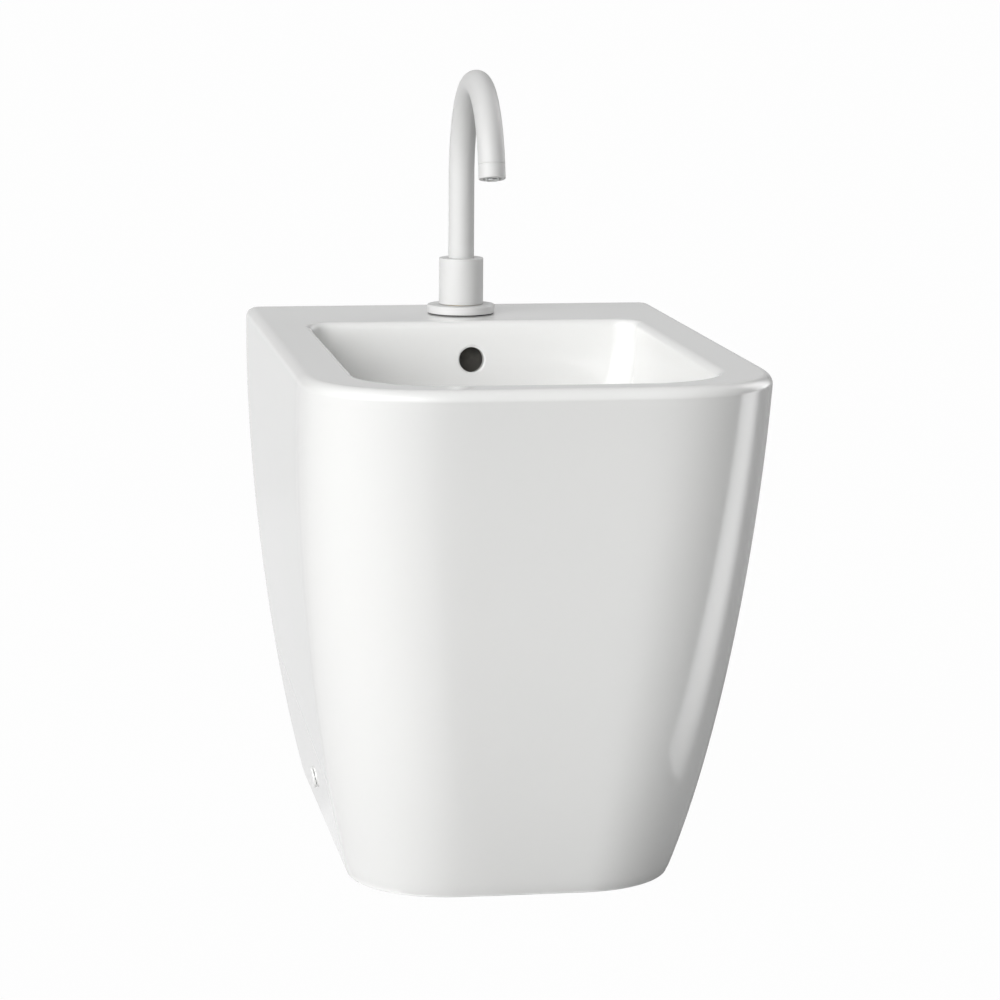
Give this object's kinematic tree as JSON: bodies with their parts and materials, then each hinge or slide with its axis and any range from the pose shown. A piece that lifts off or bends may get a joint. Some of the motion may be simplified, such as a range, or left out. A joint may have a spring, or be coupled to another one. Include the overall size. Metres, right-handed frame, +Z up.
{
  "type": "bidet",
  "caption": "Floor standing bidet, back to the wall: a flared white ceramic pedestal with a deep basin, a swan neck swivel tap on its rear ledge, a click waste and a bottle trap inside.",
  "frame": {"origin": "centre of the bounding box at the floor", "axes": "+X to the right of someone facing the wall, +Y from the front rim towards the wall, +Z up"},
  "size_m": [0.36, 0.55, 0.632],
  "materials": {
    "glaze": "glossy white glaze",
    "tap_white": "gloss white enamel on brass",
    "brass": "plain turned",
    "steel": "zinc plated or stainless",
    "chrome": "polished",
    "rubber": "matt",
    "white_plastic": "satin",
    "disc_ceramic": "lapped"
  },
  "bodies": {
    "base": {"ceramic_pedestal": "glaze", "ceramic_rim": "glaze", "ceramic_basin": "glaze", "base_gasket": "rubber", "tap_flange": "tap_white", "tap_column": "brass", "shank_gasket": "rubber", "shank_plate": "steel", "shank_nut": "brass", "disc_seal": "rubber", "fixed_disc": "disc_ceramic", "spout_clip": "steel", "waste_flange": "chrome", "flange_seal": "rubber", "back_seal": "rubber", "back_washer": "white_plastic", "back_nut": "white_plastic", "click_barrel": "white_plastic", "click_spring": "steel", "inlet_seal": "rubber", "inlet_nut": "white_plastic", "trap_inlet_pipe": "white_plastic", "trap_top_nut": "white_plastic", "trap_head": "white_plastic", "cup_seal": "rubber", "trap_cup": "white_plastic", "outlet_nut": "white_plastic", "outlet_pipe": "white_plastic", "floor_brackets": "steel", "side_screws": "steel", "screw_washers": "white_plastic", "side_caps": "glaze"},
    "control": {"control_collar": "tap_white", "collar_grub_screw": "steel", "moving_disc": "disc_ceramic", "disc_carrier": "white_plastic"},
    "spout": {"spout_tube": "tap_white", "spout_stem": "brass", "spout_o_rings": "rubber", "nozzle_adapter": "brass", "nozzle_housing": "tap_white"},
    "seat_ring": {"nozzle_seat": "white_plastic"},
    "nozzle": {"nozzle_ball": "chrome", "aerator_insert": "white_plastic"},
    "plug": {"plug_cap": "chrome", "plug_stem": "steel", "plug_seal": "rubber"}
  },
  "joints": [
    {"name": "spout_swivel", "type": "hinge", "parent": "base", "child": "spout", "pos_m": [0, 0.21, 0.45], "axis": [0, 0, 1], "range_deg": [-60, 60]},
    {"name": "control_turn", "type": "hinge", "parent": "base", "child": "control", "pos_m": [0, 0.21, 0.44], "axis": [0, 0, 1], "range_deg": [0, 100]},
    {"name": "nozzle_swing", "type": "hinge", "parent": "spout", "child": "seat_ring", "pos_m": [0, 0.04502, 0.55272], "axis": [0, 0.9659, -0.2588], "range_deg": [-10, 10]},
    {"name": "nozzle_tilt", "type": "hinge", "parent": "seat_ring", "child": "nozzle", "pos_m": [0, 0.04502, 0.55272], "axis": [1, 0, 0], "range_deg": [-10, 10]},
    {"name": "plug_slide", "type": "slide", "parent": "base", "child": "plug", "axis": [0, 0, 1], "range_m": [-0.008, 0], "deforming": ["click_spring"]}
  ]
}
